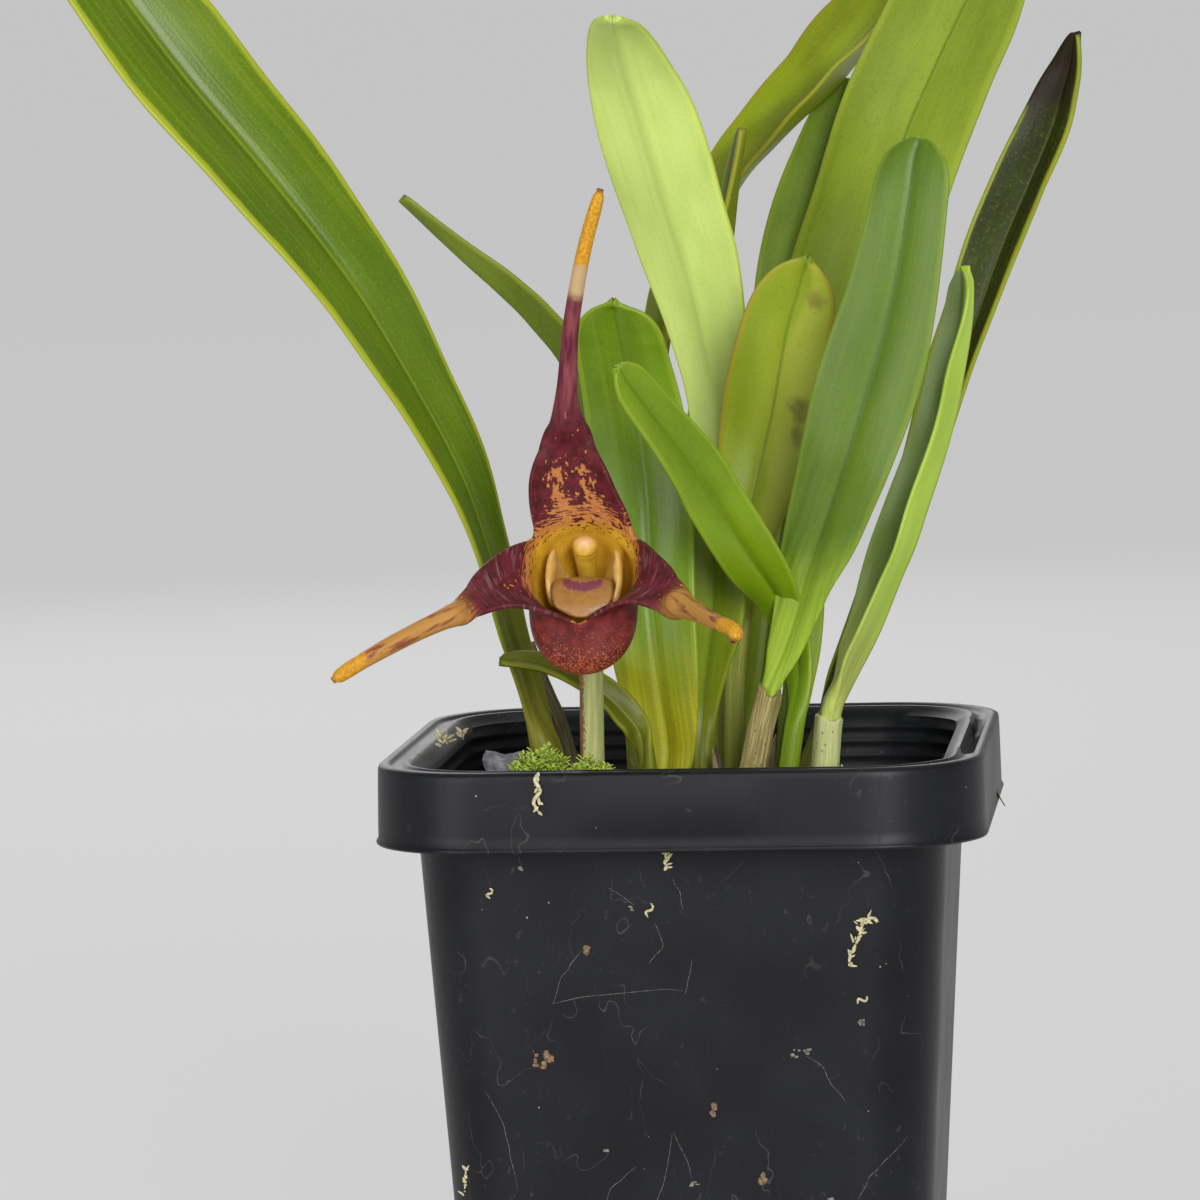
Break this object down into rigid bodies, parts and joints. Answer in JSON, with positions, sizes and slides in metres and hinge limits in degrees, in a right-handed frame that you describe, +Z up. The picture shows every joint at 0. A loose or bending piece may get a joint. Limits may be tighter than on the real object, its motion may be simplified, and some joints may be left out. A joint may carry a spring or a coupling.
{
  "type": "potted masdevallia orchid",
  "caption": "Small masdevallia orchid in bloom, with long fleshy leaves, rooted in a square plastic nursery pot.",
  "frame": {"origin": "centre of the pot's flat underside, on the surface that it stands on", "axes": "+Z up the plant, +X and +Y along the pot's sides, the flower looks towards -Y"},
  "size_m": [0.1253, 0.1005, 0.1902],
  "materials": {
    "black_plastic": "satin, a little scuffed",
    "growing_mix": "rough bark and moss mix",
    "rhizome": "rough",
    "leaf_green": "smooth, slightly glossy",
    "stalk_green": "smooth",
    "dry_sheath": "papery",
    "sepal_wine": "smooth",
    "flower_centre": "waxy",
    "moss": "soft",
    "grit": "rough stone"
  },
  "bodies": {
    "root": {"pot": "black_plastic", "growing_medium": "growing_mix", "rhizome": "rhizome", "leaf_long_left": "leaf_green", "leaf_left_arching": "leaf_green", "leaf_front_centre": "leaf_green", "leaf_pale_underside": "leaf_green", "leaf_spotted": "leaf_green", "leaf_front_diagonal": "leaf_green", "leaf_tall_front": "leaf_green", "leaf_right_folded": "leaf_green", "leaf_broad_back": "leaf_green", "leaf_olive_back": "leaf_green", "leaf_narrow_tip": "leaf_green", "leaf_blue_back": "leaf_green", "leaf_brown_tip": "leaf_green", "leaf_low_curl": "leaf_green", "leaf_short_right": "leaf_green", "leaf_hidden_middle": "leaf_green", "sheath_dry": "dry_sheath", "sheath_green": "stalk_green", "flower_stalk": "stalk_green", "old_stalk": "dry_sheath", "sepals": "sepal_wine", "petal_left": "flower_centre", "petal_right": "flower_centre", "lip": "flower_centre", "column": "flower_centre", "moss_tuft_left": "moss", "moss_tuft_right": "moss", "grit_chip_a": "grit", "grit_chip_b": "grit"}
  },
  "joints": []
}
